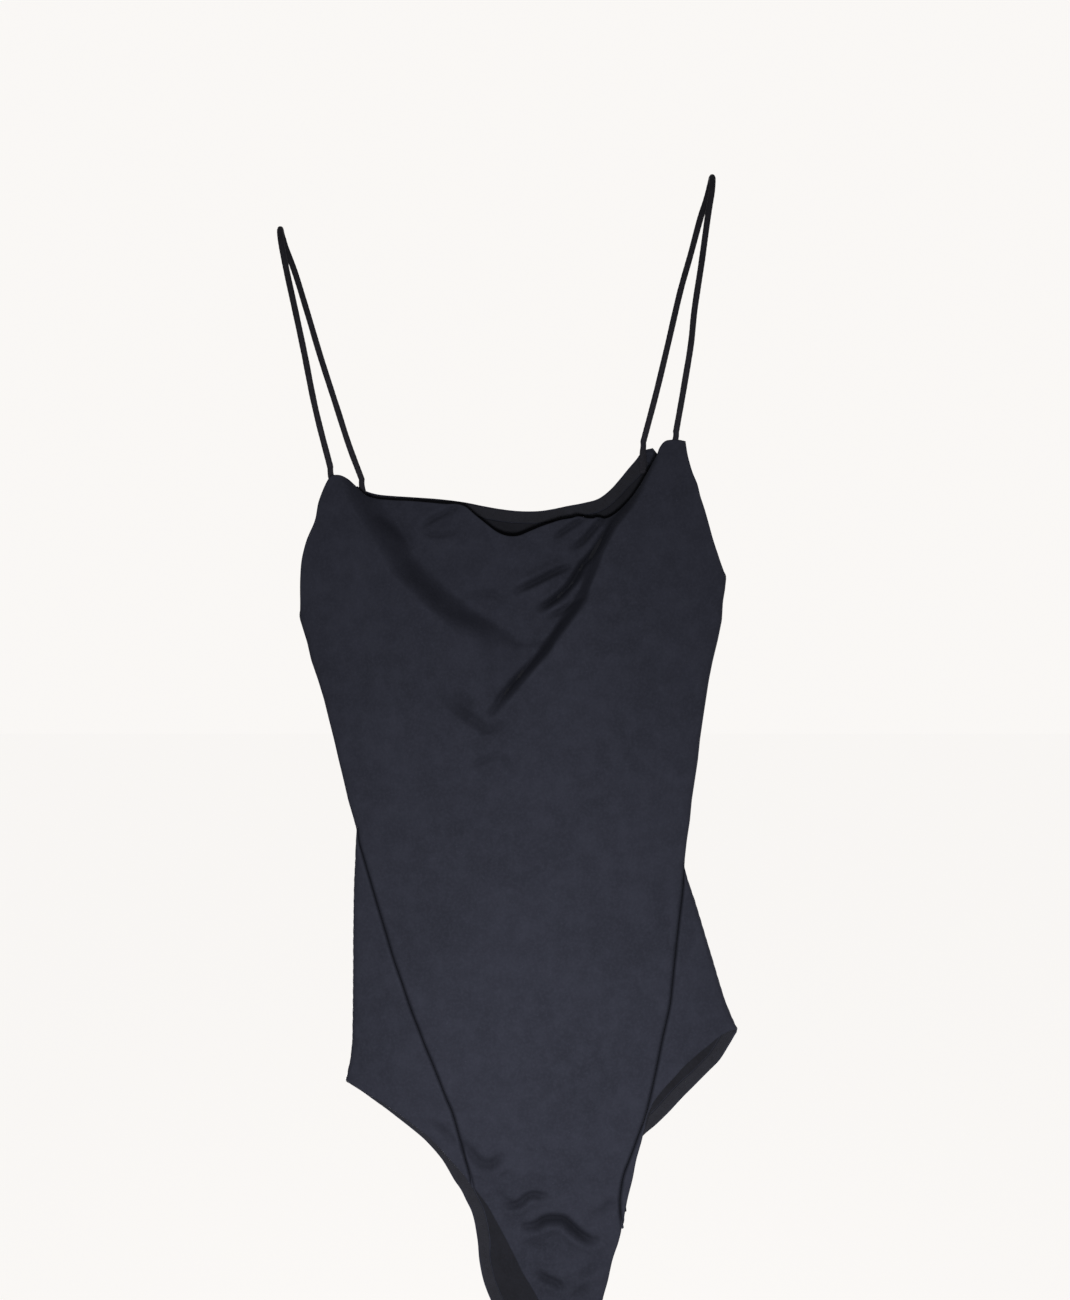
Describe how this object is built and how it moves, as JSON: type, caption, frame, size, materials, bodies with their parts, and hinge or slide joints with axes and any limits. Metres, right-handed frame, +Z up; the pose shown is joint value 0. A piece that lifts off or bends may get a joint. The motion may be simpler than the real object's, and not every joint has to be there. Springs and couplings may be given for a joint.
{
  "type": "gymnastics leotard",
  "caption": "Sleeveless camisole leotard in dark stretch jersey: draped neckline, round cord straps, low armholes, side seams that roll forward over the hips, high-cut legs.",
  "frame": {"origin": "midway between the tops of the two strap loops, where a hanger's upper edge carries them", "axes": "+Z up as the garment hangs; the front faces -Y; +X is the right of the front view"},
  "size_m": [0.2727, 0.0475, 0.7149],
  "materials": {
    "jersey": "matte fine-rib stretch jersey, dark navy-black",
    "lining": "matte stretch lining, dark navy-black",
    "elastic": "woven elastic, black",
    "strap_cord": "round turned-tube cord in the same jersey, black",
    "thread": "overlocked seam allowance, black thread"
  },
  "bodies": {
    "bodice": {"front_panel": "jersey", "back_panel": "jersey", "front_lining": "lining", "back_lining": "lining", "gusset_lining": "lining", "neck_elastic_front": "elastic", "neck_elastic_back": "elastic", "armhole_elastic_left": "elastic", "armhole_elastic_right": "elastic", "leg_elastic_left": "elastic", "leg_elastic_right": "elastic", "side_seam_left": "thread", "side_seam_right": "thread", "crotch_seam": "thread", "strap_anchor_front_left": "strap_cord", "strap_anchor_back_left": "strap_cord", "strap_anchor_front_right": "strap_cord", "strap_anchor_back_right": "strap_cord"},
    "strap_left": {"strap_left": "strap_cord"},
    "strap_right": {"strap_right": "strap_cord"}
  },
  "joints": [
    {"name": "strap_left_flop", "type": "hinge", "parent": "bodice", "child": "strap_left", "pos_m": [-0.0891, 0.00104, -0.16075], "axis": [0.5608, 0.8068, -0.1858], "range_deg": [-98, 95]},
    {"name": "strap_right_flop", "type": "hinge", "parent": "bodice", "child": "strap_right", "pos_m": [0.0966, 0.0009, -0.1392], "axis": [-0.5762, 0.8091, -0.1152], "range_deg": [-95, 98]}
  ]
}
